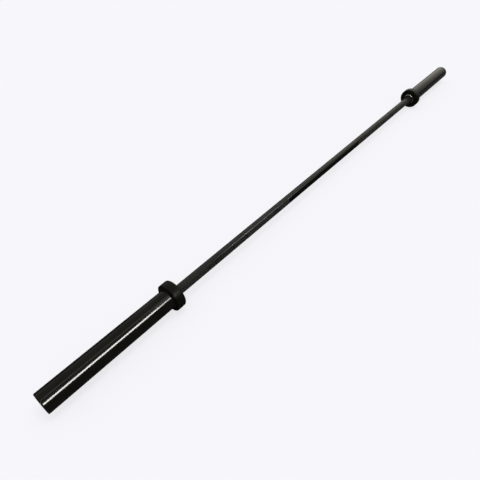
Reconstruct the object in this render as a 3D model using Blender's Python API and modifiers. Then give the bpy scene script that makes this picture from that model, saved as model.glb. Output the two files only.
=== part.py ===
"""A straight weightlifting bar whose two sleeves spin on bronze bushings.

The bar lies along X with its middle at the origin, and Z is up. Lengths are in metres.
Distances called "out" are measured along the bar from its middle towards either end.
"""

import math

import bmesh
import bpy

MM = 0.001

# The whole bar
OVERALL_LENGTH = 2010 * MM
BETWEEN_COLLARS = 1310 * MM
COLLAR_WIDTH = 24 * MM

# Shaft
GRIP_RADIUS = 12.5 * MM
KNURL_RISE = 0.1 * MM
KNURL_RAMP = 0.3 * MM
KNURL_LENGTH = 445 * MM
MARK_RINGS_FROM_COLLAR = (250 * MM, 195 * MM)
MARK_RING_WIDTH = 5 * MM
KNURL_FROM_SEAL = 1 * MM
JOURNAL_RADIUS = 11.5 * MM
SHOULDER_CHAMFER = 0.4 * MM
SHAFT_END_CHAMFER = 1 * MM
SNAP_GROOVE_RADIUS = 10.6 * MM

# Sleeve and collar
SLEEVE_RADIUS = 25 * MM
SLEEVE_END_ROUND = 2 * MM
SPIGOT_RADIUS = 22 * MM
SPIGOT_SETBACK = 1.2 * MM
SPIGOT_CHAMFER = 0.8 * MM
NOSE_RADIUS = 19.2 * MM
NOSE_CHAMFER = 1.2 * MM
NOSE_BORE_CHAMFER = 0.4 * MM
POCKET_RADIUS = 17 * MM
SEAT_RADIUS = 15 * MM
SEAT_LENGTH = 24.4 * MM
RELIEF_RADIUS = 16 * MM
RELIEF_TAPER = 1 * MM
CAP_BORE_RADIUS = 20 * MM
CAP_BORE_CHAMFER = 0.6 * MM
CAP_GROOVE_RADIUS = 21.2 * MM
COLLAR_RADIUS = 36.5 * MM
COLLAR_INNER_ROUND = 4 * MM
COLLAR_OUTER_ROUND = 1 * MM
COLLAR_BORE_CHAMFER = 0.6 * MM
COLLAR_REGISTER_DEPTH = 3 * MM

# Bushings, washers and seal
BUSHING_BARREL = 24 * MM
BUSHING_CHAMFER = 0.6 * MM
FLANGE_WIDTH = 2.5 * MM
WASHER_WIDTH = 1.5 * MM
SEAL_WIDTH = 5 * MM
SEAL_FROM_COLLAR = 6.5 * MM
SEAL_FLANGE_RADIUS = 17.9 * MM
SEAL_FLANGE_WIDTH = 1.2 * MM
SEAL_FLANGE_CHAMFER = 0.4 * MM
SEAL_LIP_WIDTH = 0.8 * MM
SEAL_LIP_SLOPE = 0.7 * MM
SEAL_TO_SHOULDER = 1.5 * MM

# End cap and the two kinds of snap ring
CAP_WIDTH = 4 * MM
CAP_EDGE_ROUND = 0.6 * MM
CAP_DISH_RADIUS = 15 * MM
CAP_DISH_DEPTH = 0.8 * MM
CAP_RING_SETBACK = 3.2 * MM
SNAP_RING_WIDTH = 1.5 * MM
SNAP_RING_FROM_SHAFT_END = 4.6 * MM
SHAFT_END_TO_CAP = 9 * MM
SHAFT_RING_BAND = 2.5 * MM
SHAFT_RING_LUG = 5.2 * MM
CAP_RING_BAND = 2.2 * MM
CAP_RING_LUG = 5 * MM
LUG_HOLE_RADIUS = 0.9 * MM
SNAP_RING_GAP_ANGLE = math.radians(12)
LUG_ARC_LENGTH = 3.6 * MM

# Fits: between faces that meet, between pieces pressed together, and where one turns in another
FACE_GAP = 0.3 * MM
PRESS_GAP = 0.2 * MM
RUNNING_GAP = 0.2 * MM

# Fineness of the round shapes. Each is a multiple of four, so that flats face down and sideways.
OUTSIDE_FACETS = 48
INSIDE_FACETS = 32
ROUND_STEPS = 4
SNAP_RING_STEPS = 24
LUG_STEPS = 2
HOLE_STEPS = 8
SHARP_ANGLE = math.radians(30)
WELD = 0.001 * MM

# Places along the bar, from its middle out
COLLAR_INNER_FACE = BETWEEN_COLLARS / 2
COLLAR_OUTER_FACE = COLLAR_INNER_FACE + COLLAR_WIDTH
SLEEVE_END = OVERALL_LENGTH / 2
SPIGOT_STEP = COLLAR_INNER_FACE + SPIGOT_SETBACK
SEAL_START = COLLAR_INNER_FACE - SEAL_FROM_COLLAR
NOSE_FACE = SEAL_START + SEAL_FLANGE_WIDTH + FACE_GAP
SHOULDER = SEAL_START + SEAL_WIDTH + SEAL_TO_SHOULDER
INNER_WASHER_START = SHOULDER + FACE_GAP
INNER_FLANGE_START = INNER_WASHER_START + WASHER_WIDTH + FACE_GAP
INNER_SEAT_STEP = INNER_FLANGE_START + FLANGE_WIDTH + FACE_GAP
CAP_RING_START = SLEEVE_END - CAP_RING_SETBACK - SNAP_RING_WIDTH
CAP_START = CAP_RING_START - FACE_GAP - CAP_WIDTH
CAP_STEP = CAP_START - FACE_GAP
SHAFT_END = CAP_START - SHAFT_END_TO_CAP
SNAP_RING_START = SHAFT_END - SNAP_RING_FROM_SHAFT_END - SNAP_RING_WIDTH
OUTER_WASHER_START = SNAP_RING_START - FACE_GAP - WASHER_WIDTH
OUTER_FLANGE_END = OUTER_WASHER_START - FACE_GAP
OUTER_SEAT_STEP = OUTER_FLANGE_END - FLANGE_WIDTH - FACE_GAP

# A quarter turn about Y lays a piece turned about its own Z along the bar, towards this side.
SIDES = {"left": -1, "right": 1}
QUARTER_TURN = math.pi / 2
HALF_TURN = math.pi


def clear_scene():
    for obj in list(bpy.data.objects):
        bpy.data.objects.remove(obj, do_unlink=True)


def new_collection(name):
    collection = bpy.data.collections.new(name)
    bpy.context.scene.collection.children.link(collection)
    return collection


def material(name, color, roughness, metallic):
    """A plain Principled material."""
    made = bpy.data.materials.new(name)
    made.use_nodes = True
    shader = made.node_tree.nodes["Principled BSDF"]
    shader.inputs["Base Color"].default_value = (*color, 1)
    shader.inputs["Roughness"].default_value = roughness
    shader.inputs["Metallic"].default_value = metallic
    made.diffuse_color = (*color, 1)
    return made


def arc(radius, start, end, steps, center=(0, 0)):
    """Points on an arc, both ends included, as (x, y) pairs."""
    points = []
    for step in range(steps + 1):
        angle = start + (end - start) * step / steps
        x = center[0] + radius * math.cos(angle)
        y = center[1] + radius * math.sin(angle)
        points.append((x, y))
    return points


def finish(obj, finish_material):
    """Welds the object's evaluated shape into a plain mesh that is smooth between its sharp edges."""
    depsgraph = bpy.context.evaluated_depsgraph_get()
    mesh = bpy.data.meshes.new_from_object(obj.evaluated_get(depsgraph))
    shape = bmesh.new()
    shape.from_mesh(mesh)
    bmesh.ops.remove_doubles(shape, verts=shape.verts, dist=WELD)
    shape.to_mesh(mesh)
    shape.free()
    mesh.shade_smooth()
    mesh.set_sharp_from_angle(angle=SHARP_ANGLE)
    name = obj.name
    bpy.data.objects.remove(obj, do_unlink=True)
    finished = bpy.data.objects.new(name, mesh)
    mesh.name = name
    mesh.materials.clear()
    mesh.materials.append(finish_material)
    barbell.objects.link(finished)
    return finished


def turned(name, profile, facets, finish_material, closed=True):
    """Turns a profile of (radius, height) points about Z.

    The points run down the outer side from the top, and then up the inner side if there is one.
    The radii are those of the flats, and the first flat faces along X.
    """
    half_facet = math.pi / facets
    stretch = 1 / math.cos(half_facet)
    shape = bmesh.new()
    points = []
    for radius, height in profile:
        x = radius * stretch * math.cos(half_facet)
        y = radius * stretch * math.sin(half_facet)
        points.append(shape.verts.new((x, y, height)))
    for first, second in zip(points, points[1:]):
        shape.edges.new((first, second))
    if closed:
        shape.edges.new((points[-1], points[0]))
    mesh = bpy.data.meshes.new(name)
    shape.to_mesh(mesh)
    shape.free()
    obj = bpy.data.objects.new(name, mesh)
    barbell.objects.link(obj)
    screw = obj.modifiers.new("turn", "SCREW")
    screw.axis = "Z"
    screw.angle = 2 * math.pi
    screw.steps = facets
    screw.render_steps = facets
    screw.use_merge_vertices = True
    screw.merge_threshold = WELD
    return finish(obj, finish_material)


def punched(name, outlines, width, finish_material):
    """A flat piece of this width, from an outline and the outlines of its holes."""
    curve = bpy.data.curves.new(name, "CURVE")
    curve.dimensions = "2D"
    curve.fill_mode = "BOTH"
    curve.extrude = width / 2
    for outline in outlines:
        spline = curve.splines.new("POLY")
        spline.points.add(len(outline) - 1)
        for point, (x, y) in zip(spline.points, outline):
            point.co = (x, y, 0, 1)
        spline.use_cyclic_u = True
    obj = bpy.data.objects.new(name, curve)
    barbell.objects.link(obj)
    return finish(obj, finish_material)


def side_axis(side, direction):
    """An empty on the sleeve's axis whose Z points out along the bar on this side."""
    empty = bpy.data.objects.new(side + "_sleeve_axis", None)
    empty.rotation_euler = (0, direction * QUARTER_TURN, 0)
    empty.empty_display_size = SLEEVE_RADIUS
    barbell.objects.link(empty)
    return empty


def place(obj, axis, out, flipped=False):
    """Puts a piece on a sleeve's axis, this far out, with its top turned inward if flipped."""
    obj.parent = axis
    obj.location = (0, 0, out)
    if flipped:
        obj.rotation_euler = (HALF_TURN, 0, 0)
    return obj


def knurl_band(near, far):
    """The shaft's side along one knurled stretch, from its far end to its near one."""
    crest = GRIP_RADIUS + KNURL_RISE
    return [
        (GRIP_RADIUS, far),
        (crest, far - KNURL_RAMP),
        (crest, near + KNURL_RAMP),
        (GRIP_RADIUS, near),
    ]


def knurled_stretches():
    """The knurled stretches on one half of the shaft, parted by mark rings, as (near, far) distances out."""
    stretches = []
    near = COLLAR_INNER_FACE - KNURL_LENGTH
    for distance in MARK_RINGS_FROM_COLLAR:
        stretches.append((near, COLLAR_INNER_FACE - distance - MARK_RING_WIDTH))
        near = COLLAR_INNER_FACE - distance
    return [*stretches, (near, SEAL_START - KNURL_FROM_SEAL)]


def make_shaft():
    """The solid bar: knurled grips round a smooth middle, and a turned-down journal at each end."""
    groove_near = SNAP_RING_START - FACE_GAP
    groove_far = SNAP_RING_START + SNAP_RING_WIDTH + FACE_GAP
    half = [
        (0, SHAFT_END),
        (JOURNAL_RADIUS - SHAFT_END_CHAMFER, SHAFT_END),
        (JOURNAL_RADIUS, SHAFT_END - SHAFT_END_CHAMFER),
        (JOURNAL_RADIUS, groove_far),
        (SNAP_GROOVE_RADIUS, groove_far),
        (SNAP_GROOVE_RADIUS, groove_near),
        (JOURNAL_RADIUS, groove_near),
        (JOURNAL_RADIUS, SHOULDER),
        (GRIP_RADIUS - SHOULDER_CHAMFER, SHOULDER),
        (GRIP_RADIUS, SHOULDER - SHOULDER_CHAMFER),
    ]
    for near, far in reversed(knurled_stretches()):
        half += knurl_band(near, far)
    other_half = [(radius, -out) for radius, out in reversed(half)]
    shaft = turned("shaft", half + other_half, OUTSIDE_FACETS, satin_black, closed=False)
    shaft.rotation_euler = (0, QUARTER_TURN, 0)
    return shaft


def make_sleeve(side, axis):
    """The tube that carries the plates, bored for the bushings.

    At its inner end a spigot carries the collar, and a nose reaches through the collar to the seal.
    """
    shoulder = COLLAR_OUTER_FACE - COLLAR_REGISTER_DEPTH + FACE_GAP
    groove_near = CAP_RING_START - PRESS_GAP
    groove_far = CAP_RING_START + SNAP_RING_WIDTH + PRESS_GAP
    inner_seat_end = INNER_SEAT_STEP + SEAT_LENGTH
    outer_seat_end = OUTER_SEAT_STEP - SEAT_LENGTH
    end_round = arc(
        SLEEVE_END_ROUND,
        math.pi / 2,
        0,
        ROUND_STEPS,
        (SLEEVE_RADIUS - SLEEVE_END_ROUND, SLEEVE_END - SLEEVE_END_ROUND),
    )
    outside = [
        (CAP_BORE_RADIUS + CAP_BORE_CHAMFER, SLEEVE_END),
        *end_round,
        (SLEEVE_RADIUS, shoulder),
        (SPIGOT_RADIUS, shoulder),
        (SPIGOT_RADIUS, SPIGOT_STEP + SPIGOT_CHAMFER),
        (SPIGOT_RADIUS - SPIGOT_CHAMFER, SPIGOT_STEP),
        (NOSE_RADIUS, SPIGOT_STEP),
        (NOSE_RADIUS, NOSE_FACE + NOSE_CHAMFER),
        (NOSE_RADIUS - NOSE_CHAMFER, NOSE_FACE),
    ]
    inside = [
        (POCKET_RADIUS + NOSE_BORE_CHAMFER, NOSE_FACE),
        (POCKET_RADIUS, NOSE_FACE + NOSE_BORE_CHAMFER),
        (POCKET_RADIUS, INNER_SEAT_STEP),
        (SEAT_RADIUS, INNER_SEAT_STEP),
        (SEAT_RADIUS, inner_seat_end),
        (RELIEF_RADIUS, inner_seat_end + RELIEF_TAPER),
        (RELIEF_RADIUS, outer_seat_end - RELIEF_TAPER),
        (SEAT_RADIUS, outer_seat_end),
        (SEAT_RADIUS, OUTER_SEAT_STEP),
        (POCKET_RADIUS, OUTER_SEAT_STEP),
        (POCKET_RADIUS, CAP_STEP),
        (CAP_BORE_RADIUS, CAP_STEP),
        (CAP_BORE_RADIUS, groove_near),
        (CAP_GROOVE_RADIUS, groove_near),
        (CAP_GROOVE_RADIUS, groove_far),
        (CAP_BORE_RADIUS, groove_far),
        (CAP_BORE_RADIUS, SLEEVE_END - CAP_BORE_CHAMFER),
    ]
    sleeve = turned(side + "_sleeve", outside + inside, OUTSIDE_FACETS, gloss_black)
    return place(sleeve, axis, 0)


def make_collar(side, axis):
    """The ring that stops the plates, pressed on the sleeve's spigot.

    Its plate side is nearly square, and its hand side is well rounded.
    A shallow register in its outer face takes the sleeve's full diameter.
    """
    bore = SPIGOT_RADIUS + PRESS_GAP
    register = SLEEVE_RADIUS + PRESS_GAP
    outer_corner = (COLLAR_RADIUS - COLLAR_OUTER_ROUND, COLLAR_WIDTH - COLLAR_OUTER_ROUND)
    inner_corner = (COLLAR_RADIUS - COLLAR_INNER_ROUND, COLLAR_INNER_ROUND)
    profile = [
        (register, COLLAR_WIDTH),
        *arc(COLLAR_OUTER_ROUND, math.pi / 2, 0, ROUND_STEPS, outer_corner),
        *arc(COLLAR_INNER_ROUND, 0, -math.pi / 2, ROUND_STEPS, inner_corner),
        (bore + COLLAR_BORE_CHAMFER, 0),
        (bore, COLLAR_BORE_CHAMFER),
        (bore, COLLAR_WIDTH - COLLAR_REGISTER_DEPTH),
        (register, COLLAR_WIDTH - COLLAR_REGISTER_DEPTH),
    ]
    collar = turned(side + "_collar", profile, OUTSIDE_FACETS, satin_black)
    return place(collar, axis, COLLAR_INNER_FACE)


def make_bushing(name, axis, flange_face, flipped):
    """A flanged bronze bushing. Its flange face is at the bottom, and its barrel is above."""
    bore = JOURNAL_RADIUS + RUNNING_GAP
    barrel = SEAT_RADIUS - PRESS_GAP
    flange = POCKET_RADIUS - PRESS_GAP
    top = FLANGE_WIDTH + BUSHING_BARREL
    profile = [
        (barrel - BUSHING_CHAMFER, top),
        (barrel, top - BUSHING_CHAMFER),
        (barrel, FLANGE_WIDTH),
        (flange, FLANGE_WIDTH),
        (flange, 0),
        (bore, 0),
        (bore, top),
    ]
    bushing = turned(name, profile, INSIDE_FACETS, bronze)
    return place(bushing, axis, flange_face, flipped)


def make_thrust_washer(name, axis, out):
    """A flat ground washer between a bushing's flange and what holds it on the shaft."""
    outer = POCKET_RADIUS - PRESS_GAP
    bore = JOURNAL_RADIUS + RUNNING_GAP
    profile = [(outer, WASHER_WIDTH), (outer, 0), (bore, 0), (bore, WASHER_WIDTH)]
    return place(turned(name, profile, INSIDE_FACETS, steel), axis, out)


def make_dust_seal(side, axis):
    """A rubber ring pressed in the sleeve's nose.

    Its flange covers the nose's face, and its lip wipes the shaft.
    """
    outer = POCKET_RADIUS - PRESS_GAP
    lip = GRIP_RADIUS + RUNNING_GAP
    profile = [
        (outer, SEAL_WIDTH),
        (outer, SEAL_FLANGE_WIDTH),
        (SEAL_FLANGE_RADIUS, SEAL_FLANGE_WIDTH),
        (SEAL_FLANGE_RADIUS, SEAL_FLANGE_CHAMFER),
        (SEAL_FLANGE_RADIUS - SEAL_FLANGE_CHAMFER, 0),
        (lip + SEAL_LIP_SLOPE, 0),
        (lip, SEAL_LIP_WIDTH),
        (lip, 2 * SEAL_LIP_WIDTH),
        (lip + SEAL_LIP_SLOPE, SEAL_WIDTH),
    ]
    seal = turned(side + "_dust_seal", profile, INSIDE_FACETS, rubber)
    return place(seal, axis, SEAL_START)


def make_end_cap(side, axis):
    """The dished disc that closes the sleeve's outer end."""
    outer = CAP_BORE_RADIUS - PRESS_GAP
    profile = [
        (0, CAP_WIDTH - CAP_DISH_DEPTH),
        (CAP_DISH_RADIUS, CAP_WIDTH - CAP_DISH_DEPTH),
        (CAP_DISH_RADIUS + CAP_DISH_DEPTH, CAP_WIDTH),
        (outer - CAP_EDGE_ROUND, CAP_WIDTH),
        (outer, CAP_WIDTH - CAP_EDGE_ROUND),
        (outer, 0),
        (0, 0),
    ]
    cap = turned(side + "_end_cap", profile, OUTSIDE_FACETS, cap_black, closed=False)
    return place(cap, axis, CAP_START)


def snap_ring_outlines(seat_radius, band_radius, lug_radius):
    """A snap ring's outline and the holes in its two lugs.

    The seat is the edge in the groove, the band is the ring's other edge, and the lugs reach past the band.
    """
    lug_center = (band_radius + lug_radius) / 2
    lug_angle = LUG_ARC_LENGTH / lug_center
    gap = SNAP_RING_GAP_ANGLE
    past_lug = gap + lug_angle
    full = 2 * math.pi
    outline = arc(seat_radius, gap, full - gap, SNAP_RING_STEPS)
    outline += arc(lug_radius, full - gap, full - past_lug, LUG_STEPS)
    outline += arc(band_radius, full - past_lug, past_lug, SNAP_RING_STEPS)
    outline += arc(lug_radius, past_lug, gap, LUG_STEPS)
    holes = []
    for angle in (gap + lug_angle / 2, -gap - lug_angle / 2):
        center = (lug_center * math.cos(angle), lug_center * math.sin(angle))
        holes.append(arc(LUG_HOLE_RADIUS, 0, full, HOLE_STEPS, center)[:-1])
    return [outline, *holes]


def make_shaft_snap_ring(side, axis):
    """The outside snap ring in the shaft's groove, which keeps the sleeve on the shaft."""
    seat = SNAP_GROOVE_RADIUS + PRESS_GAP
    outlines = snap_ring_outlines(seat, seat + SHAFT_RING_BAND, seat + SHAFT_RING_LUG)
    ring = punched(side + "_shaft_snap_ring", outlines, SNAP_RING_WIDTH, spring_steel)
    return place(ring, axis, SNAP_RING_START + SNAP_RING_WIDTH / 2)


def make_cap_snap_ring(side, axis):
    """The inside snap ring in the sleeve's groove, which keeps the end cap in."""
    seat = CAP_GROOVE_RADIUS - FACE_GAP
    outlines = snap_ring_outlines(seat, seat - CAP_RING_BAND, seat - CAP_RING_LUG)
    ring = punched(side + "_cap_snap_ring", outlines, SNAP_RING_WIDTH, spring_steel)
    return place(ring, axis, CAP_RING_START + SNAP_RING_WIDTH / 2)


def make_side(side, direction):
    """Everything at one end of the bar."""
    axis = side_axis(side, direction)
    make_sleeve(side, axis)
    make_collar(side, axis)
    make_dust_seal(side, axis)
    make_thrust_washer(side + "_inner_thrust_washer", axis, INNER_WASHER_START)
    make_bushing(side + "_inner_bushing", axis, INNER_FLANGE_START, flipped=False)
    make_bushing(side + "_outer_bushing", axis, OUTER_FLANGE_END, flipped=True)
    make_thrust_washer(side + "_outer_thrust_washer", axis, OUTER_WASHER_START)
    make_shaft_snap_ring(side, axis)
    make_end_cap(side, axis)
    make_cap_snap_ring(side, axis)


clear_scene()
barbell = new_collection("barbell")
gloss_black = material("gloss_black_sleeve", (0.012, 0.012, 0.011), 0.18, 0.0)
satin_black = material("satin_black_coating", (0.03, 0.03, 0.027), 0.42, 0.3)
cap_black = material("black_end_cap", (0.015, 0.015, 0.015), 0.4, 0.0)
bronze = material("bronze", (0.45, 0.27, 0.11), 0.35, 1.0)
steel = material("ground_steel", (0.5, 0.5, 0.5), 0.3, 1.0)
spring_steel = material("spring_steel", (0.12, 0.12, 0.13), 0.35, 1.0)
rubber = material("seal_rubber", (0.03, 0.03, 0.02), 0.7, 0.0)
make_shaft()
for side_name, side_direction in SIDES.items():
    make_side(side_name, side_direction)
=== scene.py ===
"""The looks of a plain black weightlifting bar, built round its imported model.

The bar lies along X with its middle at the origin, and Z is up. Lengths are in metres.
Distances called "out" are measured along the bar from its middle towards either end.
"""

import math

import bmesh
import bpy
from mathutils import Euler, Matrix, Vector


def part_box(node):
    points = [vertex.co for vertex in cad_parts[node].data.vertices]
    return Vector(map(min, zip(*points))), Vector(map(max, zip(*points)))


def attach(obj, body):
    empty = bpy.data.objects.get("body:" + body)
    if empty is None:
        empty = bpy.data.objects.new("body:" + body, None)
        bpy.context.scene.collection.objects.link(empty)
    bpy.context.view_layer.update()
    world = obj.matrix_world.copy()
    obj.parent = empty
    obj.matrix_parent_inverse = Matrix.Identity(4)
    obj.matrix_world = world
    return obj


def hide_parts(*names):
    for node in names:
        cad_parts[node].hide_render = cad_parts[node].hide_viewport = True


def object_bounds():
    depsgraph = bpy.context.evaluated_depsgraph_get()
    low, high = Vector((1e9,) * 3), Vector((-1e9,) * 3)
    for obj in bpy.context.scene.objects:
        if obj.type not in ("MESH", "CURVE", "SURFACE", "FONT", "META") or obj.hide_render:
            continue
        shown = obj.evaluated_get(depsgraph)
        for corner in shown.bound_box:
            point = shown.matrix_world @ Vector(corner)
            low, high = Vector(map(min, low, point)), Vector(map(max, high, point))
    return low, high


MM = 0.001

# Shaft
GRIP_RADIUS = 12.5 * MM
KNURL_FROM_SEAL = 1 * MM
KNURL_LENGTH = 445 * MM
MARK_RINGS_FROM_COLLAR = (250 * MM, 195 * MM)
MARK_RING_WIDTH = 5 * MM
MARK_RING_SLOPE_DEGREES = 16
KNURL_CREST = 12.6 * MM
KNURL_GROOVE = 12.4 * MM
KNURL_FLAT = 0.75
KNURL_CORE = 12.2 * MM
KNURL_ROOT = 12 * MM
KNURL_AROUND = 56
KNURL_HALF_ANGLE = math.radians(30)
SEAL_TO_SHOULDER = 1.5 * MM
JOURNAL_RADIUS = 11.5 * MM
SNAP_GROOVE_RADIUS = 10.6 * MM
SNAP_GROOVE_ROOM = 0.3 * MM
SHAFT_EDGE = 0.5 * MM
SHAFT_END_CHAMFER = 1 * MM

# Sleeve
SLEEVE_END_ROUND = 2 * MM
SPIGOT_RADIUS = 22 * MM
SPIGOT_SETBACK = 1.2 * MM
SPIGOT_EDGE = 0.8 * MM
NOSE_RADIUS = 19.2 * MM
NOSE_CHAMFER = 1.2 * MM
NOSE_BORE_EDGE = 0.4 * MM
POCKET_RADIUS = 17 * MM
FLANGE_WIDTH = 2.5 * MM
SEAT_RADIUS = 15 * MM
RELIEF_RADIUS = 16 * MM
RELIEF_TAPER = 1 * MM
SEAT_ROOM = 0.3 * MM
CAP_BORE_RADIUS = 20 * MM
CAP_BORE_EDGE = 0.6 * MM
CAP_GROOVE_RADIUS = 21.2 * MM
CAP_GROOVE_ROOM = 0.2 * MM

# Collar
COLLAR_OUTER_ROUND = 1 * MM
COLLAR_INNER_ROUND = 4 * MM
COLLAR_BORE = 22.2 * MM
COLLAR_BORE_EDGE = 0.6 * MM
COLLAR_REGISTER = 25.2 * MM
COLLAR_REGISTER_DEPTH = 3 * MM
SHOULDER_ROOM = 0.3 * MM

# Seal, end cap and its snap ring
SEAL_BARREL_RADIUS = 16.8 * MM
SEAL_FLANGE_WIDTH = 1.2 * MM
SEAL_LIP_RADIUS = 12.7 * MM
SEAL_LIP_SLOPE = 0.7 * MM
SEAL_LIP_WIDTH = 0.8 * MM
SEAL_EDGE = 0.4 * MM
CAP_DISH_RADIUS = 15 * MM
CAP_DISH_DEPTH = 0.8 * MM
CAP_EDGE = 0.6 * MM
CLIP_BAND = 2.2 * MM
CLIP_LUG = 5 * MM
CLIP_GAP_ANGLE = math.radians(12)
CLIP_LUG_ARC = 3.6 * MM
CLIP_HOLE_RADIUS = 0.9 * MM
CLIP_EDGE = 0.15 * MM

# The tint of the black coatings' gloss, and the dark steel where the nose's chamfer is rubbed bare
WARM_GLOSS = (1, 0.95, 0.78)
WORN_STEEL = (0.28, 0.265, 0.23)
WORN_ROUGHNESS = 0.3
WEAR_FADE = 0.1 * MM

# How fine the materials' patterns are, per metre, how they are stretched, and how deep they are pressed in
NO_STRETCH = (1, 1, 1)
PATTERN_DETAIL = 4
PATCH_EDGES = (0.35, 0.65)
GLOSS_EDGES = (0.3, 0.7)
COATING_PATCHES = 30
COATING_STREAKS = 90
COATING_STREAK_STRETCH = (0.2, 4, 4)
COATING_RING_STRETCH = (1, 0.01, 0.01)
METAL_PATCHES = 120
METAL_RING_STRETCH = (1, 0.02, 0.02)
RING_DETAIL = 2
MOULDED_SPECULAR = 0.12
MOULDED_GRAIN = 20
MOULDED_BUMP = 0.15
BUMP_DEPTH = 0.05 * MM

# Fineness of the round shapes
TURNED_STEPS = 144
ROUND_STEPS = 10
EDGE_STEPS = 4
CLIP_EDGE_STEPS = 2
WELD = 0.001 * MM
SHARP_ANGLE = math.radians(35)

# The camera, as the photograph's edges place it round the real bar
CAMERA_PLACE = (-1.0355, -0.5998, 0.7741)
CAMERA_HEADING = math.radians(48.91)
CAMERA_PITCH = math.radians(40.037)
CAMERA_ROLL = math.radians(-3.144)
CAMERA_LENS = 32.015
SENSOR_WIDTH = 36
FRAME_SIDE = 480
PRINCIPAL_POINT = (256.83, 223.01)

# The studio
FLOOR_SIDE = 60
BACKGROUND_COLOR = (0.939, 0.935, 0.965)
FLOOR_GLOW = 0.8
WORLD_LIGHT = 0.7
OVERHEAD_LIGHT = 1.0
OVERHEAD_SPREAD = math.radians(25)
OVERHEAD_FROM = (0.2, -0.1, 0.97)

# The glow behind and above the far end, which shows only in reflections
GLOW_FROM = (0.79, 0.26, 0.55)
GLOW_EDGE = 0.8
GLOW_FULL = 1
GLOW_RADIANCE = 1.08
GLOW_COLOR = (1, 0.94, 0.8)

# The long lamps that show only in reflections: their two ends, width and radiance, and the one piece that
# mirrors them, or None for all. The first four draw the streaks on the near sleeve. The next three make the
# soft light on its collar and the glints on the far nose and the mark rings. The last is the shaft's sheen.
STRIP_COLOR = (0.83, 0.86, 1)
STRIPS = {
    "strip": ((-1.2, -1.216, 0.926), (-0.25, -1.13, 1.015), 0.35, 163, "left_sleeve_tube"),
    "strip_tail": ((-0.25, -1.13, 1.015), (0.015, -1.107, 1.04), 0.35, 84, "left_sleeve_tube"),
    "top_strip": ((-1.3, -0.26, 1.5), (-0.1, -0.28, 1.5), 0.16, 6.4, "left_sleeve_tube"),
    "inner_strip": ((-0.22, -0.76, 1.5), (-0.04, -0.78, 1.5), 0.26, 12, "left_sleeve_tube"),
    "collar_strip": ((-1.2, -1.216, 0.926), (-0.02, -1.11, 1.037), 0.35, 21, "left_collar_ring"),
    "nose_strip": ((-0.45, -0.5, 1.5), (-0.15, -0.5, 1.5), 0.26, 29, "right_sleeve_tube"),
    "ring_strip": ((0.2, -0.74, 1.5), (0.9, -0.74, 1.5), 0.22, 150, "shaft_bar"),
    "shaft_strip": ((0.5, -0.8, 1.5), (1.15, -0.84, 1.5), 0.3, 34, None),
}

# The black card under the bar and up both sides, which shows only in reflections.
# Its walls are given as places along the bar, with the heights of the far wall and of the camera's one.
# It turns from black to grey between two places along the bar, given for its floor and for its walls.
CARD_DISTANCE = 2
CARD_LIFT = 1 * MM
CARD_WALLS = (
    (-2, 0.6, 1.15),
    (-0.3, 0.6, 1.5),
    (0, 0, 1.55),
    (0.4, 0, 1.65),
    (0.8, 0.6, 1.7),
    (2.7, 0.6, 2.1),
    (3.4, 0.3, 1.9),
    (4.4, 0, 0.8),
    (9, 0, 0.8),
)
CARD_COLOR = (0.05, 0.05, 0.05)
CARD_GREY = (0.16, 0.16, 0.15)
CARD_GREY_FLOOR = (0.25, 0.55)
CARD_GREY_WALLS = (3.9, 4.5)

SIDES = {"left": -1, "right": 1}


def size_of(node):
    """How far out a round CAD node starts and ends, and its radius."""
    low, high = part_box(node)
    ends = sorted((abs(low.x), abs(high.x)))
    return ends[0], ends[1], high.z


def arc(radius, start, end, steps, center):
    """Points on an arc in degrees, both ends included, as (radius, out) pairs."""
    points = []
    for step in range(steps + 1):
        angle = math.radians(start + (end - start) * step / steps)
        points.append((center[0] + radius * math.cos(angle), center[1] + radius * math.sin(angle)))
    return points


def new_piece(name, shape):
    """A new object from a finished bmesh, smooth between its sharp edges."""
    mesh = bpy.data.meshes.new(name)
    bmesh.ops.recalc_face_normals(shape, faces=shape.faces)
    shape.to_mesh(mesh)
    shape.free()
    mesh.shade_smooth()
    mesh.set_sharp_from_angle(angle=SHARP_ANGLE)
    piece = bpy.data.objects.new(name, mesh)
    bpy.context.scene.collection.objects.link(piece)
    return piece


def turned(name, profile, direction=1, closed=True):
    """Turns (radius, out) points about the bar's axis, on this side of its middle."""
    shape = bmesh.new()
    rings = []
    for radius, out in profile:
        x = direction * out
        if radius == 0:
            rings.append([shape.verts.new((x, 0, 0))])
            continue
        ring = []
        for step in range(TURNED_STEPS):
            angle = 2 * math.pi * step / TURNED_STEPS
            ring.append(shape.verts.new((x, radius * math.cos(angle), radius * math.sin(angle))))
        rings.append(ring)
    pairs = list(zip(rings, rings[1:]))
    if closed:
        pairs.append((rings[-1], rings[0]))
    for first, second in pairs:
        join_rings(shape, first, second, TURNED_STEPS)
    return new_piece(name, shape)


def join_rings(shape, first, second, steps):
    """Faces between two rings, either of which may be a single point."""
    for step in range(steps):
        after = (step + 1) % steps
        corners = [first[step % len(first)], first[after % len(first)]]
        corners += [second[after % len(second)], second[step % len(second)]]
        corners = list(dict.fromkeys(corners))
        if len(corners) > 2:
            shape.faces.new(corners)


def dress(piece, body, slot, finish, *nodes):
    """Gives a piece its material and its body, and hides the CAD nodes that it stands for."""
    piece.data.materials.append(finish)
    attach(piece, body)
    if nodes:
        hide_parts(*nodes)


def node_tree(name):
    """A new node material and its Principled shader."""
    made = bpy.data.materials.new(name)
    made.use_nodes = True
    return made, made.node_tree, made.node_tree.nodes["Principled BSDF"]


def place_on_bar(tree, stretch):
    """Coordinates fixed to the object, in metres, stretched by this much along X, Y and Z."""
    coordinates = tree.nodes.new("ShaderNodeTexCoord")
    mapping = tree.nodes.new("ShaderNodeMapping")
    mapping.inputs["Scale"].default_value = stretch
    tree.links.new(coordinates.outputs["Object"], mapping.inputs["Vector"])
    return mapping.outputs["Vector"]


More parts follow.
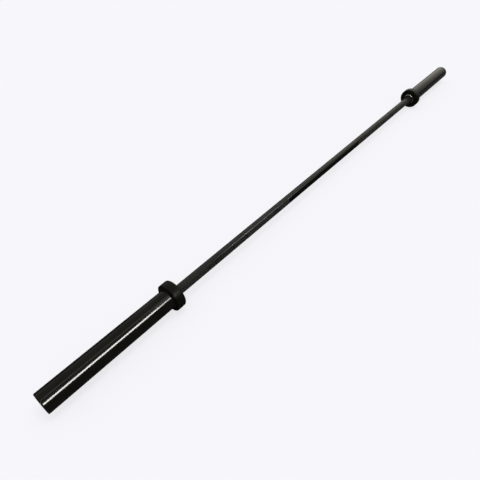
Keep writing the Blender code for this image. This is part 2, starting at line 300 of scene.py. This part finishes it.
def noise(tree, place, scale, detail=PATTERN_DETAIL):
    """A noise pattern from 0 to 1."""
    texture = tree.nodes.new("ShaderNodeTexNoise")
    texture.inputs["Scale"].default_value = scale
    texture.inputs["Detail"].default_value = detail
    tree.links.new(place, texture.inputs["Vector"])
    return texture.outputs["Fac"]


def spread(tree, value, low, high, new_low, new_high):
    """Maps a value from one range to another, held within the new one."""
    mapped = tree.nodes.new("ShaderNodeMapRange")
    mapped.inputs["From Min"].default_value = low
    mapped.inputs["From Max"].default_value = high
    mapped.inputs["To Min"].default_value = new_low
    mapped.inputs["To Max"].default_value = new_high
    tree.links.new(value, mapped.inputs["Value"])
    return mapped.outputs["Result"]


def mix_colors(tree, amount, first, second):
    """A mix of two colours, by an amount from 0 to 1. Each colour is a tuple or an output."""
    mixed = tree.nodes.new("ShaderNodeMix")
    mixed.data_type = "RGBA"
    tree.links.new(amount, mixed.inputs["Factor"])
    for name, color in (("A", first), ("B", second)):
        socket = next(s for s in mixed.inputs if s.name == name and s.type == "RGBA")
        if isinstance(color, tuple):
            socket.default_value = (*color, 1)
        else:
            tree.links.new(color, socket)
    return next(s for s in mixed.outputs if s.type == "RGBA")


def calculate(tree, operation, *values):
    """The result of a sum on up to three values. Each value is a number or an output."""
    node = tree.nodes.new("ShaderNodeMath")
    node.operation = operation
    for socket, value in zip(node.inputs, values):
        if isinstance(value, (int, float)):
            socket.default_value = value
        else:
            tree.links.new(value, socket)
    return node.outputs["Value"]


def mottle(tree, shader, scale, dark, light):
    """Gives a shader a base colour with soft patches of two tones, and returns their pattern."""
    patches = noise(tree, place_on_bar(tree, NO_STRETCH), scale)
    color = mix_colors(tree, spread(tree, patches, *PATCH_EDGES, 0, 1), dark, light)
    tree.links.new(color, shader.inputs["Base Color"])
    return patches


def vary_gloss(tree, shader, pattern, roughness):
    """Lets a shader's roughness follow a pattern, from its first value to its second."""
    tree.links.new(spread(tree, pattern, *GLOSS_EDGES, *roughness), shader.inputs["Roughness"])


def bump(tree, shader, height, strength):
    """Raises the surface by a pattern, for the shading alone."""
    raised = tree.nodes.new("ShaderNodeBump")
    raised.inputs["Strength"].default_value = strength
    raised.inputs["Distance"].default_value = BUMP_DEPTH
    tree.links.new(height, raised.inputs["Height"])
    tree.links.new(raised.outputs["Normal"], shader.inputs["Normal"])


def coated(name, dark, light, roughness, specular, turning, grain, gloss=WARM_GLOSS):
    """A black coating on turned steel: faint rings from the lathe, a fine grain and mottled gloss."""
    made, tree, shader = node_tree(name)
    shader.inputs["Specular IOR Level"].default_value = specular
    shader.inputs["Specular Tint"].default_value = (*gloss, 1)
    mottle(tree, shader, COATING_PATCHES, dark, light)
    streaks = noise(tree, place_on_bar(tree, COATING_STREAK_STRETCH), COATING_STREAKS)
    vary_gloss(tree, shader, streaks, roughness)
    rings = noise(tree, place_on_bar(tree, COATING_RING_STRETCH), turning, RING_DETAIL)
    bump(tree, shader, rings, grain)
    return made


def wear_chamfer(finish, near, far):
    """Rubs a coating down to dark steel between two distances out, at both ends of the bar."""
    tree = finish.node_tree
    shader = tree.nodes["Principled BSDF"]
    place = tree.nodes.new("ShaderNodeSeparateXYZ")
    tree.links.new(place_on_bar(tree, NO_STRETCH), place.inputs["Vector"])
    out = calculate(tree, "ABSOLUTE", place.outputs["X"])
    past_near = spread(tree, out, near, near + WEAR_FADE, 0, 1)
    short_of_far = spread(tree, out, far, far + WEAR_FADE, 1, 0)
    worn = calculate(tree, "MULTIPLY", past_near, short_of_far)
    coating = shader.inputs["Base Color"].links[0].from_socket
    tree.links.new(mix_colors(tree, worn, coating, WORN_STEEL), shader.inputs["Base Color"])
    roughness = tree.nodes.new("ShaderNodeMix")
    tree.links.new(worn, roughness.inputs["Factor"])
    tree.links.new(shader.inputs["Roughness"].links[0].from_socket, roughness.inputs["A"])
    roughness.inputs["B"].default_value = WORN_ROUGHNESS
    tree.links.new(roughness.outputs["Result"], shader.inputs["Roughness"])
    tree.links.new(worn, shader.inputs["Metallic"])


def metal(name, dark, light, roughness, turning, grain):
    """Bare turned metal with a mottled tone and fine rings."""
    made, tree, shader = node_tree(name)
    shader.inputs["Metallic"].default_value = 1
    mottle(tree, shader, METAL_PATCHES, dark, light)
    rings = noise(tree, place_on_bar(tree, METAL_RING_STRETCH), turning, RING_DETAIL)
    vary_gloss(tree, shader, rings, roughness)
    bump(tree, shader, rings, grain)
    return made


def moulded(name, dark, light, roughness, scale):
    """Rubber or plastic with a fine moulded grain."""
    made, tree, shader = node_tree(name)
    shader.inputs["Specular IOR Level"].default_value = MOULDED_SPECULAR
    patches = mottle(tree, shader, scale, dark, light)
    vary_gloss(tree, shader, patches, roughness)
    grain = noise(tree, place_on_bar(tree, NO_STRETCH), MOULDED_GRAIN * scale)
    bump(tree, shader, grain, MOULDED_BUMP)
    return made


def make_materials():
    """Every finish of the bar, by name."""
    return {
        "sleeve": coated(
            "gloss_black_sleeve",
            (0.0054, 0.0052, 0.0041),
            (0.0074, 0.0072, 0.0058),
            roughness=(0.09, 0.13),
            specular=0.08,
            turning=900,
            grain=0.006,
        ),
        "collar": coated(
            "satin_black_collar",
            (0.0038, 0.0036, 0.0024),
            (0.0054, 0.0052, 0.0037),
            roughness=(0.3, 0.38),
            specular=0.06,
            turning=700,
            grain=0.03,
        ),
        "shaft": coated(
            "satin_black_shaft",
            (0.002, 0.002, 0.0014),
            (0.0036, 0.0036, 0.0028),
            roughness=(0.16, 0.22),
            specular=0.14,
            turning=900,
            grain=0.03,
            gloss=(1, 0.985, 0.9),
        ),
        "knurl": coated(
            "matte_black_knurl",
            (0.047, 0.0465, 0.042),
            (0.072, 0.071, 0.0643),
            roughness=(0.5, 0.6),
            specular=0.02,
            turning=900,
            grain=0.03,
        ),
        "bronze": metal(
            "turned_bronze",
            (0.36, 0.2, 0.08),
            (0.5, 0.31, 0.13),
            roughness=(0.25, 0.4),
            turning=1500,
            grain=0.2,
        ),
        "steel": metal(
            "ground_steel",
            (0.42, 0.42, 0.43),
            (0.56, 0.56, 0.57),
            roughness=(0.2, 0.32),
            turning=2500,
            grain=0.15,
        ),
        "spring": metal(
            "spring_steel",
            (0.08, 0.08, 0.085),
            (0.15, 0.15, 0.155),
            roughness=(0.28, 0.4),
            turning=1500,
            grain=0.15,
        ),
        "rubber": moulded(
            "seal_rubber",
            (0.0075, 0.0076, 0.0012),
            (0.013, 0.0132, 0.0042),
            roughness=(0.5, 0.62),
            scale=150,
        ),
        "plastic": moulded(
            "black_end_cap",
            (0.008, 0.008, 0.0075),
            (0.012, 0.012, 0.011),
            roughness=(0.36, 0.46),
            scale=120,
        ),
    }


def make_shaft(finishes):
    """The shaft without its knurling: smooth middle, mark rings, journals and snap grooves."""
    clip_start, clip_end, _ = size_of("left_shaft_snap_ring")
    end = size_of("shaft")[1]
    shoulder = size_of("left_dust_seal")[1] + SEAL_TO_SHOULDER
    half = [
        (0, end),
        (JOURNAL_RADIUS - SHAFT_END_CHAMFER, end),
        (JOURNAL_RADIUS, end - SHAFT_END_CHAMFER),
        (JOURNAL_RADIUS, clip_end + SNAP_GROOVE_ROOM),
        (SNAP_GROOVE_RADIUS, clip_end + SNAP_GROOVE_ROOM),
        (SNAP_GROOVE_RADIUS, clip_start - SNAP_GROOVE_ROOM),
        (JOURNAL_RADIUS, clip_start - SNAP_GROOVE_ROOM),
        (JOURNAL_RADIUS, shoulder),
        *arc(SHAFT_EDGE, 90, 0, EDGE_STEPS, (GRIP_RADIUS - SHAFT_EDGE, shoulder - SHAFT_EDGE)),
    ]
    stretches = knurled_stretches()
    for index, (near, far) in reversed(list(enumerate(stretches))):
        half += [(GRIP_RADIUS, far), (KNURL_CORE, far), (KNURL_CORE, near), (GRIP_RADIUS, near)]
        if index:
            half += mark_groove(stretches[index - 1][1], near)
    profile = half + [(radius, -out) for radius, out in reversed(half)]
    shaft = turned("shaft_bar", profile, closed=False)
    dress(shaft, "shaft_assembly", "shaft_coating", finishes["shaft"], "shaft")


def mark_groove(near, far):
    """The shallow round bottom of a mark ring, without its two rims."""
    slope = math.radians(MARK_RING_SLOPE_DEGREES)
    radius = (far - near) / 2 / math.sin(slope)
    center = (GRIP_RADIUS + radius * math.cos(slope), (near + far) / 2)
    first = 180 - MARK_RING_SLOPE_DEGREES
    last = 180 + MARK_RING_SLOPE_DEGREES
    return arc(radius, first, last, ROUND_STEPS, center)[1:-1]


def knurled_stretches():
    """The knurled stretches on each half of the shaft, parted by mark rings, as (near, far) distances out."""
    collar_start = size_of("left_collar")[0]
    stretches = []
    near = collar_start - KNURL_LENGTH
    for distance in MARK_RINGS_FROM_COLLAR:
        stretches.append((near, collar_start - distance - MARK_RING_WIDTH))
        near = collar_start - distance
    return [*stretches, (near, size_of("left_dust_seal")[0] - KNURL_FROM_SEAL)]


def make_knurl(name, near, far, direction, finishes):
    """One knurled stretch: rows of flat-topped diamonds between two sets of crossing grooves."""
    pitch = 2 * math.pi * KNURL_CREST / KNURL_AROUND
    row_step = pitch / math.tan(KNURL_HALF_ANGLE) / 2
    rows = 2 * round((far - near) / row_step / 2)
    around = 2 * KNURL_AROUND
    shape = bmesh.new()

    def corner(row, step, radius):
        x = direction * (near + (far - near) * row / rows)
        angle = 2 * math.pi * step / around
        return shape.verts.new((x, radius * math.cos(angle), radius * math.sin(angle)))

    lattice = []
    for row in range(rows + 1):
        ring = []
        for step in range(around):
            in_diamond = (step + row) % 2 == 1 and 0 < row < rows
            ring.append(None if in_diamond else corner(row, step, KNURL_GROOVE))
        lattice.append(ring)
    for row in range(1, rows):
        for step in range((row + 1) % 2, around, 2):
            foot = [
                lattice[row][(step + 1) % around],
                lattice[row + 1][step],
                lattice[row][step - 1],
                lattice[row - 1][step],
            ]
            top = [
                corner(row, step + KNURL_FLAT, KNURL_CREST),
                corner(row + KNURL_FLAT, step, KNURL_CREST),
                corner(row, step - KNURL_FLAT, KNURL_CREST),
                corner(row - KNURL_FLAT, step, KNURL_CREST),
            ]
            shape.faces.new(top).material_index = 1
            for index in range(4):
                shape.faces.new((foot[index - 1], foot[index], top[index], top[index - 1]))
    close_knurl(shape, lattice, around)
    piece = new_piece(name, shape)
    dress(piece, "shaft_assembly", "shaft_coating", finishes["knurl"])
    piece.data.materials.append(finishes["shaft"])


def close_knurl(shape, lattice, around):
    """Fills a knurled stretch's two end rows, and closes it with a wall that lies in the shaft."""
    for end_row, next_row in ((lattice[0], lattice[1]), (lattice[-1], lattice[-2])):
        row_is_odd = 1 if end_row is lattice[0] else (len(lattice) - 2) % 2
        for step in range((row_is_odd + 1) % 2, around, 2):
            between = (step + 1) % around
            past = (step + 2) % around
            shape.faces.new((end_row[step], end_row[between], end_row[past], next_row[between]))
    roots = []
    for end_row in (lattice[0], lattice[-1]):
        ring = []
        for vertex in end_row:
            flat = Vector((0, vertex.co.y, vertex.co.z)).normalized() * KNURL_ROOT
            ring.append(shape.verts.new((vertex.co.x, flat.y, flat.z)))
        roots.append(ring)
        join_rings(shape, end_row, ring, around)
    join_rings(shape, roots[0], roots[1], around)


def make_sleeve(side, direction, finishes):
    """The tube that carries the plates, with its nose, its spigot, its bores and the groove for the clip."""
    start, end, radius = size_of(side + "_sleeve")
    collar_start, collar_end, _ = size_of(side + "_collar")
    shoulder = collar_end - COLLAR_REGISTER_DEPTH + SHOULDER_ROOM
    spigot_start = collar_start + SPIGOT_SETBACK
    inner_start, inner_end, _ = size_of(side + "_inner_bushing")
    outer_start, outer_end, _ = size_of(side + "_outer_bushing")
    inner_step = inner_start + FLANGE_WIDTH + SEAT_ROOM
    outer_step = outer_end - FLANGE_WIDTH - SEAT_ROOM
    cap_step = size_of(side + "_end_cap")[0] - SEAT_ROOM
    clip_start, clip_end, _ = size_of(side + "_cap_snap_ring")
    groove_near = clip_start - CAP_GROOVE_ROOM
    groove_far = clip_end + CAP_GROOVE_ROOM
    nose_bore = (POCKET_RADIUS + NOSE_BORE_EDGE, start + NOSE_BORE_EDGE)
    end_round = (radius - SLEEVE_END_ROUND, end - SLEEVE_END_ROUND)
    profile = [
        *arc(CAP_BORE_EDGE, 180, 90, EDGE_STEPS, (CAP_BORE_RADIUS + CAP_BORE_EDGE, end - CAP_BORE_EDGE)),
        *arc(SLEEVE_END_ROUND, 90, 0, ROUND_STEPS, end_round),
        (radius, shoulder),
        (SPIGOT_RADIUS, shoulder),
        *arc(SPIGOT_EDGE, 0, -90, EDGE_STEPS, (SPIGOT_RADIUS - SPIGOT_EDGE, spigot_start + SPIGOT_EDGE)),
        (NOSE_RADIUS, spigot_start),
        (NOSE_RADIUS, start + NOSE_CHAMFER),
        (NOSE_RADIUS - NOSE_CHAMFER, start),
        *arc(NOSE_BORE_EDGE, -90, -180, EDGE_STEPS, nose_bore),
        (POCKET_RADIUS, inner_step),
        (SEAT_RADIUS, inner_step),
        (SEAT_RADIUS, inner_end),
        (RELIEF_RADIUS, inner_end + RELIEF_TAPER),
        (RELIEF_RADIUS, outer_start - RELIEF_TAPER),
        (SEAT_RADIUS, outer_start),
        (SEAT_RADIUS, outer_step),
        (POCKET_RADIUS, outer_step),
        (POCKET_RADIUS, cap_step),
        (CAP_BORE_RADIUS, cap_step),
        (CAP_BORE_RADIUS, groove_near),
        (CAP_GROOVE_RADIUS, groove_near),
        (CAP_GROOVE_RADIUS, groove_far),
        (CAP_BORE_RADIUS, groove_far),
    ]
    piece = turned(side + "_sleeve_tube", profile, direction)
    dress(piece, side + "_sleeve_assembly", "sleeve_coating", finishes["sleeve"], side + "_sleeve")


def make_collar(side, direction, finishes):
    """The ring that stops the plates, nearly square on their side and well rounded on the hands' side."""
    start, end, radius = size_of(side + "_collar")
    register_floor = end - COLLAR_REGISTER_DEPTH
    outer_corner = (radius - COLLAR_OUTER_ROUND, end - COLLAR_OUTER_ROUND)
    inner_corner = (radius - COLLAR_INNER_ROUND, start + COLLAR_INNER_ROUND)
    bore_edge = (COLLAR_BORE + COLLAR_BORE_EDGE, start + COLLAR_BORE_EDGE)
    profile = [
        (COLLAR_REGISTER, end),
        *arc(COLLAR_OUTER_ROUND, 90, 0, EDGE_STEPS, outer_corner),
        *arc(COLLAR_INNER_ROUND, 0, -90, ROUND_STEPS, inner_corner),
        *arc(COLLAR_BORE_EDGE, -90, -180, EDGE_STEPS, bore_edge),
        (COLLAR_BORE, register_floor),
        (COLLAR_REGISTER, register_floor),
    ]
    piece = turned(side + "_collar_ring", profile, direction)
    dress(piece, side + "_sleeve_assembly", "collar_coating", finishes["collar"], side + "_collar")


def make_seal(side, direction, finishes):
    """The rubber ring whose flange covers the sleeve's nose and whose lip wipes the shaft."""
    start, end, radius = size_of(side + "_dust_seal")
    profile = [
        *arc(SEAL_EDGE, 90, 0, EDGE_STEPS, (SEAL_BARREL_RADIUS - SEAL_EDGE, end - SEAL_EDGE)),
        (SEAL_BARREL_RADIUS, start + SEAL_FLANGE_WIDTH),
        (radius, start + SEAL_FLANGE_WIDTH),
        *arc(SEAL_EDGE, 0, -90, EDGE_STEPS, (radius - SEAL_EDGE, start + SEAL_EDGE)),
        (SEAL_LIP_RADIUS + SEAL_LIP_SLOPE, start),
        (SEAL_LIP_RADIUS, start + SEAL_LIP_WIDTH),
        (SEAL_LIP_RADIUS, start + 2 * SEAL_LIP_WIDTH),
        (SEAL_LIP_RADIUS + SEAL_LIP_SLOPE, end),
    ]
    piece = turned(side + "_seal_ring", profile, direction)
    dress(piece, side + "_sleeve_assembly", "seal_rubber", finishes["rubber"], side + "_dust_seal")


def make_cap(side, direction, finishes):
    """The dished disc that closes the sleeve's outer end."""
    start, end, radius = size_of(side + "_end_cap")
    floor = end - CAP_DISH_DEPTH
    profile = [
        (0, floor),
        (CAP_DISH_RADIUS, floor),
        *arc(CAP_DISH_DEPTH, 180, 90, EDGE_STEPS, (CAP_DISH_RADIUS + CAP_DISH_DEPTH, floor)),
        *arc(CAP_EDGE, 90, 0, EDGE_STEPS, (radius - CAP_EDGE, end - CAP_EDGE)),
        (radius, start),
        (0, start),
    ]
    piece = turned(side + "_cap_disc", profile, direction, closed=False)
    dress(piece, side + "_sleeve_assembly", "cap_plastic", finishes["plastic"], side + "_end_cap")


def clip_outlines(seat):
    """The cap's snap ring and its two lug holes, as (up, across) points about the axis."""
    band = seat - CLIP_BAND
    lug = seat - CLIP_LUG
    lug_center = (band + lug) / 2
    gap = math.degrees(CLIP_GAP_ANGLE)
    lug_angle = math.degrees(CLIP_LUG_ARC / lug_center)
    outline = arc(seat, gap, 360 - gap, 4 * ROUND_STEPS, (0, 0))
    outline += arc(lug, 360 - gap, 360 - gap - lug_angle, EDGE_STEPS, (0, 0))
    outline += arc(band, 360 - gap - lug_angle, gap + lug_angle, 4 * ROUND_STEPS, (0, 0))
    outline += arc(lug, gap + lug_angle, gap, EDGE_STEPS, (0, 0))
    holes = []
    for angle in (gap + lug_angle / 2, -gap - lug_angle / 2):
        turn = math.radians(angle)
        center = (lug_center * math.cos(turn), lug_center * math.sin(turn))
        holes.append(arc(CLIP_HOLE_RADIUS, 0, 360, 2 * ROUND_STEPS, center)[:-1])
    return [outline, *holes]


def make_clip(side, direction, finishes):
    """The snap ring that keeps the end cap in, punched from flat spring steel."""
    start, end, radius = size_of(side + "_cap_snap_ring")
    width = end - start
    curve = bpy.data.curves.new("clip_outline", "CURVE")
    curve.dimensions = "2D"
    curve.fill_mode = "BOTH"
    curve.extrude = width / 2 - CLIP_EDGE
    curve.bevel_depth = CLIP_EDGE
    curve.bevel_resolution = CLIP_EDGE_STEPS
    curve.offset = -CLIP_EDGE
    for outline in clip_outlines(radius):
        spline = curve.splines.new("POLY")
        spline.points.add(len(outline) - 1)
        for point, (up, across) in zip(spline.points, outline):
            point.co = (-direction * up, across, 0, 1)
        spline.use_cyclic_u = True
    flat = bpy.data.objects.new("clip_outline", curve)
    bpy.context.scene.collection.objects.link(flat)
    flat.rotation_euler = (0, direction * math.pi / 2, 0)
    flat.location = (direction * (start + end) / 2, 0, 0)
    bpy.context.view_layer.update()
    shape = bmesh.new()
    evaluated = flat.evaluated_get(bpy.context.evaluated_depsgraph_get())
    mesh = bpy.data.meshes.new_from_object(evaluated)
    mesh.transform(flat.matrix_world)
    shape.from_mesh(mesh)
    bmesh.ops.remove_doubles(shape, verts=shape.verts, dist=WELD)
    bpy.data.objects.remove(flat)
    piece = new_piece(side + "_cap_clip", shape)
    finish = finishes["spring"]
    dress(piece, side + "_sleeve_assembly", "spring_steel", finish, side + "_cap_snap_ring")


def finish_inner_pieces(side, finishes):
    """Materials for the CAD pieces that stay as they are inside the sleeve."""
    finish_names = {
        "_inner_bushing": "bronze",
        "_outer_bushing": "bronze",
        "_inner_thrust_washer": "steel",
        "_outer_thrust_washer": "steel",
        "_shaft_snap_ring": "spring",
    }
    for ending, finish in finish_names.items():
        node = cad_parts[side + ending]
        node.data.materials.clear()
        node.data.materials.append(finishes[finish])


def make_camera():
    """The photograph's camera."""
    data = bpy.data.cameras.new("camera")
    data.lens = CAMERA_LENS
    data.sensor_width = SENSOR_WIDTH
    data.shift_x = (FRAME_SIDE / 2 - PRINCIPAL_POINT[0]) / FRAME_SIDE
    data.shift_y = (PRINCIPAL_POINT[1] - FRAME_SIDE / 2) / FRAME_SIDE
    camera = bpy.data.objects.new("camera", data)
    level = Euler((math.pi / 2 - CAMERA_PITCH, 0, -CAMERA_HEADING)).to_matrix()
    rolled = level @ Matrix.Rotation(CAMERA_ROLL, 3, "Z")
    camera.location = CAMERA_PLACE
    camera.rotation_euler = rolled.to_euler()
    bpy.context.scene.collection.objects.link(camera)
    bpy.context.scene.camera = camera


def seen_directly(tree):
    """1 for camera, glossy and transmission rays, and 0 for the rays that light things."""
    path = tree.nodes.new("ShaderNodeLightPath")
    seen = path.outputs["Is Camera Ray"]
    for ray in ("Is Glossy Ray", "Is Transmission Ray"):
        seen = calculate(tree, "MAXIMUM", seen, path.outputs[ray])
    return seen


def make_floor():
    """A plain pale floor that the bar lies on, with a soft shadow."""
    low, _ = cad_box
    shape = bmesh.new()
    half = FLOOR_SIDE / 2
    corners = [(-half, -half), (half, -half), (half, half), (-half, half)]
    shape.faces.new([shape.verts.new((x, y, low.z)) for x, y in corners])
    floor = new_piece("floor", shape)
    made, tree, shader = node_tree("pale_floor")
    shader.inputs["Base Color"].default_value = (*BACKGROUND_COLOR, 1)
    shader.inputs["Roughness"].default_value = 1
    shader.inputs["Specular IOR Level"].default_value = 0
    glow = tree.nodes.new("ShaderNodeEmission")
    glow.inputs["Color"].default_value = (*BACKGROUND_COLOR, 1)
    mixed = tree.nodes.new("ShaderNodeMixShader")
    tree.links.new(spread(tree, seen_directly(tree), 0, 1, 0, FLOOR_GLOW), mixed.inputs["Fac"])
    tree.links.new(shader.outputs["BSDF"], mixed.inputs[1])
    tree.links.new(glow.outputs["Emission"], mixed.inputs[2])
    tree.links.new(mixed.outputs["Shader"], tree.nodes["Material Output"].inputs["Surface"])
    floor.data.materials.append(made)


def make_card():
    """A black card under the bar and up both sides, which only reflections show."""
    low, _ = cad_box
    level = low.z + CARD_LIFT
    shape = bmesh.new()
    columns = []
    for x, far_height, near_height in CARD_WALLS:
        places = [(CARD_DISTANCE, far_height), (CARD_DISTANCE, level), (-CARD_DISTANCE, level)]
        places.append((-CARD_DISTANCE, near_height))
        columns.append([shape.verts.new((x, y, z)) for y, z in places])
    for first, second in zip(columns, columns[1:]):
        for row in range(3):
            shape.faces.new((first[row], first[row + 1], second[row + 1], second[row]))
    card = new_piece("black_card", shape)
    made, tree, shader = node_tree("black_card")
    place = tree.nodes.new("ShaderNodeSeparateXYZ")
    tree.links.new(place_on_bar(tree, NO_STRETCH), place.inputs["Vector"])
    low_down = spread(tree, place.outputs["Z"], level + CARD_LIFT, level + 2 * CARD_LIFT, 1, 0)
    past_first = spread(tree, place.outputs["X"], *CARD_GREY_FLOOR, 0, 1)
    past_second = spread(tree, place.outputs["X"], *CARD_GREY_WALLS, 0, 1)
    grey = calculate(tree, "MAXIMUM", calculate(tree, "MULTIPLY", past_first, low_down), past_second)
    tree.links.new(mix_colors(tree, grey, CARD_COLOR, CARD_GREY), shader.inputs["Base Color"])
    shader.inputs["Roughness"].default_value = 1
    shader.inputs["Specular IOR Level"].default_value = 0
    card.data.materials.append(made)
    card.visible_camera = False
    card.visible_diffuse = False
    card.visible_shadow = False


def make_world():
    """White where it is seen, directly or in a reflection, softer as a light, and aglow past the far end."""
    world = bpy.data.worlds.new("studio")
    bpy.context.scene.world = world
    world.use_nodes = True
    tree = world.node_tree
    background = tree.nodes["Background"]
    plain = spread(tree, seen_directly(tree), 0, 1, WORLD_LIGHT, 1)
    direction = tree.nodes.new("ShaderNodeTexCoord").outputs["Generated"]
    towards = tree.nodes.new("ShaderNodeVectorMath")
    towards.operation = "DOT_PRODUCT"
    towards.inputs[1].default_value = Vector(GLOW_FROM).normalized()
    tree.links.new(direction, towards.inputs[0])
    glow = spread(tree, towards.outputs["Value"], GLOW_EDGE, GLOW_FULL, 0, 1)
    glow.node.interpolation_type = "SMOOTHSTEP"
    path = tree.nodes.new("ShaderNodeLightPath")
    mirrored = calculate(tree, "MULTIPLY", path.outputs["Is Glossy Ray"], glow)
    strength = calculate(tree, "MULTIPLY_ADD", mirrored, GLOW_RADIANCE, plain)
    tree.links.new(strength, background.inputs["Strength"])
    tree.links.new(mix_colors(tree, mirrored, BACKGROUND_COLOR, GLOW_COLOR), background.inputs["Color"])


def make_overhead_light():
    """One broad soft lamp, almost straight above."""
    data = bpy.data.lights.new("overhead", "SUN")
    data.energy = OVERHEAD_LIGHT
    data.angle = OVERHEAD_SPREAD
    light = bpy.data.objects.new("overhead", data)
    light.visible_glossy = False
    light.location = OVERHEAD_FROM
    light.rotation_mode = "QUATERNION"
    light.rotation_quaternion = (-light.location).to_track_quat("-Z", "Y")
    bpy.context.scene.collection.objects.link(light)


def make_strip(name, start, end, width, radiance, piece):
    """A long lamp between two points. It shows only in reflections, and only in the piece if one is named."""
    start = Vector(start)
    end = Vector(end)
    middle = (start + end) / 2
    length = (end - start).length
    data = bpy.data.lights.new(name, "AREA")
    data.shape = "RECTANGLE"
    data.size = length
    data.size_y = width
    data.energy = radiance * math.pi * length * width
    data.color = STRIP_COLOR
    light = bpy.data.objects.new(name, data)
    light.location = middle
    along = (end - start).normalized()
    outward = (middle - Vector((middle.x, 0, 0))).normalized()
    outward = (outward - along * outward.dot(along)).normalized()
    light.rotation_euler = Matrix((along, outward.cross(along), outward)).transposed().to_euler()
    light.visible_camera = False
    light.visible_diffuse = False
    bpy.context.scene.collection.objects.link(light)
    if piece:
        mirror = bpy.data.collections.new(name + "_mirror")
        mirror.objects.link(bpy.data.objects[piece])
        light.light_linking.receiver_collection = mirror


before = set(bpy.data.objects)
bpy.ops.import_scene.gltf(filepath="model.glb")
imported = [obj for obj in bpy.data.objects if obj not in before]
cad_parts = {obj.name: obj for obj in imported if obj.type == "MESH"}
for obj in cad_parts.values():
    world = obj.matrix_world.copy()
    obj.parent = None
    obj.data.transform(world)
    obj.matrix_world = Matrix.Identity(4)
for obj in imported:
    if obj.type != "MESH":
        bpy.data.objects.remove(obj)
cad_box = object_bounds()
finishes = make_materials()
nose_face = size_of("left_sleeve")[0]
wear_chamfer(finishes["sleeve"], nose_face - WEAR_FADE, nose_face + NOSE_CHAMFER - WEAR_FADE)
make_shaft(finishes)
for side, direction in SIDES.items():
    for label, (near, far) in zip(("inner", "middle", "outer"), knurled_stretches()):
        make_knurl(side + "_" + label + "_knurl", near, far, direction, finishes)
    make_sleeve(side, direction, finishes)
    make_collar(side, direction, finishes)
    make_seal(side, direction, finishes)
    make_cap(side, direction, finishes)
    make_clip(side, direction, finishes)
    finish_inner_pieces(side, finishes)
make_camera()
make_floor()
make_world()
make_overhead_light()
for name, strip in STRIPS.items():
    make_strip(name, *strip)
make_card()
bpy.context.scene.view_settings.view_transform = "Standard"
